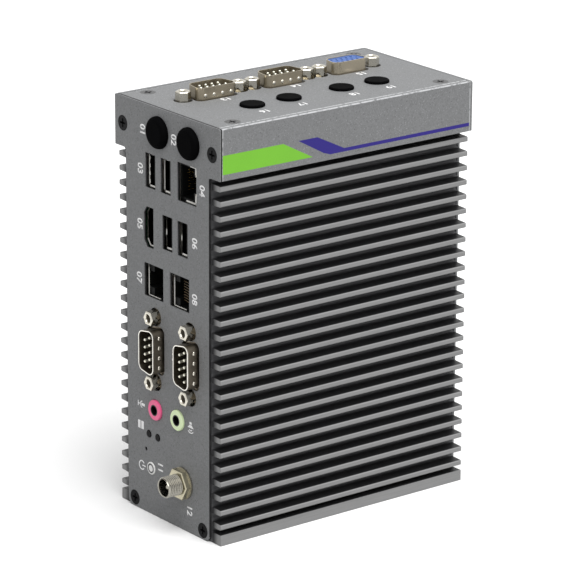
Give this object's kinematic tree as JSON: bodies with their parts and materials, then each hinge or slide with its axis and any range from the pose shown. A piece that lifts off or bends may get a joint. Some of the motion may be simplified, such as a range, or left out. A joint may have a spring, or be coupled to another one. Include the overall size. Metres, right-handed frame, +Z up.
{
  "type": "din rail computer",
  "caption": "Fanless computer for a mounting rail: finned metal body, port panel on a narrow face, wider header cap with serial and monitor ports on top, and a sprung rail clip behind.",
  "frame": {"origin": "middle of the flat underside", "axes": "+X across the width, -Y towards the port plate, +Y towards the mounting rail, +Z up"},
  "size_m": [0.064, 0.133, 0.1615],
  "materials": {
    "fin_anodising": "grey anodised, satin",
    "plate_coat": "fine grey powder coat",
    "black_screws": "black oxide",
    "inner_screws": "zinc plated",
    "black_rubber": "matte",
    "port_steel": "nickel plated sheet",
    "black_plastic": "matte",
    "contact_gold": "plated",
    "nickel": "satin nickel plate",
    "nut_brass": "nickel-washed brass",
    "blue_plastic": "matte",
    "pink_plastic": "semi-gloss",
    "green_plastic": "semi-gloss",
    "clear_plastic": "clear lens plastic",
    "white_plastic": "semi-gloss",
    "board_green": "solder mask",
    "processor_lid": "nickel plated",
    "bare_aluminium": "milled",
    "pad_grey": "soft",
    "cell_steel": "polished",
    "bracket_metal": "clear anodised",
    "latch_metal": "zinc plated",
    "spring_steel": "plain spring steel"
  },
  "bodies": {
    "housing": {"antenna_plugs_front": "black_rubber", "antenna_plugs_top": "black_rubber", "board_chips": "black_plastic", "board_screws": "inner_screws", "board_sockets": "black_plastic", "board_standoffs": "inner_screws", "bracket_screws": "black_screws", "button_switches": "black_plastic", "cell_holder": "black_plastic", "chassis": "fin_anodising", "coin_cell": "cell_steel", "frame_screws": "inner_screws", "front_screws": "black_screws", "header_board": "board_green", "header_frame": "plate_coat", "heat_block": "bare_aluminium", "indicator_holder": "black_plastic", "io_board": "board_green", "jack_screws_front": "nickel", "jack_screws_top": "nickel", "latch_spring": "spring_steel", "light_pipes": "clear_plastic", "main_board": "board_green", "memory_module": "board_green", "microphone_jack": "pink_plastic", "monitor_port_insert": "blue_plastic", "monitor_port_shell": "port_steel", "network_bodies": "black_plastic", "network_contacts": "contact_gold", "network_shields": "port_steel", "port_plate": "plate_coat", "power_inlet_barrel": "nickel", "power_inlet_body": "black_plastic", "power_inlet_nut": "nut_brass", "power_inlet_pin": "contact_gold", "power_inlet_washer": "nut_brass", "processor": "processor_lid", "rail_bracket": "bracket_metal", "rear_plate": "plate_coat", "rear_screws": "black_screws", "riser_board": "board_green", "serial_bodies_front": "black_plastic", "serial_bodies_top": "black_plastic", "serial_pins_front": "contact_gold", "serial_pins_top": "contact_gold", "serial_shells_front": "port_steel", "serial_shells_top": "port_steel", "speaker_jack": "green_plastic", "storage_card": "board_green", "thermal_pad": "pad_grey", "top_plate": "plate_coat", "top_screws": "black_screws", "usb_shells": "port_steel", "usb_tongues": "black_plastic", "video_port_shell": "port_steel", "video_port_tongue": "black_plastic"},
    "power_button": {"power_button": "white_plastic"},
    "clear_button": {"clear_button": "white_plastic"},
    "rail_latch": {"rail_latch": "latch_metal"}
  },
  "joints": [
    {"name": "power_button_press", "type": "slide", "parent": "housing", "child": "power_button", "axis": [0, 1, 0], "range_m": [0, 0.0006], "stiffness_N_per_m": 2000, "springref_m": -0.0004},
    {"name": "clear_button_press", "type": "slide", "parent": "housing", "child": "clear_button", "axis": [0, 1, 0], "range_m": [0, 0.0003], "stiffness_N_per_m": 3000, "springref_m": -0.0003},
    {"name": "rail_latch_pull", "type": "slide", "parent": "housing", "child": "rail_latch", "axis": [0, 0, -1], "range_m": [0, 0.0032], "stiffness_N_per_m": 2500, "springref_m": -0.002, "deforming": ["latch_spring"]}
  ]
}
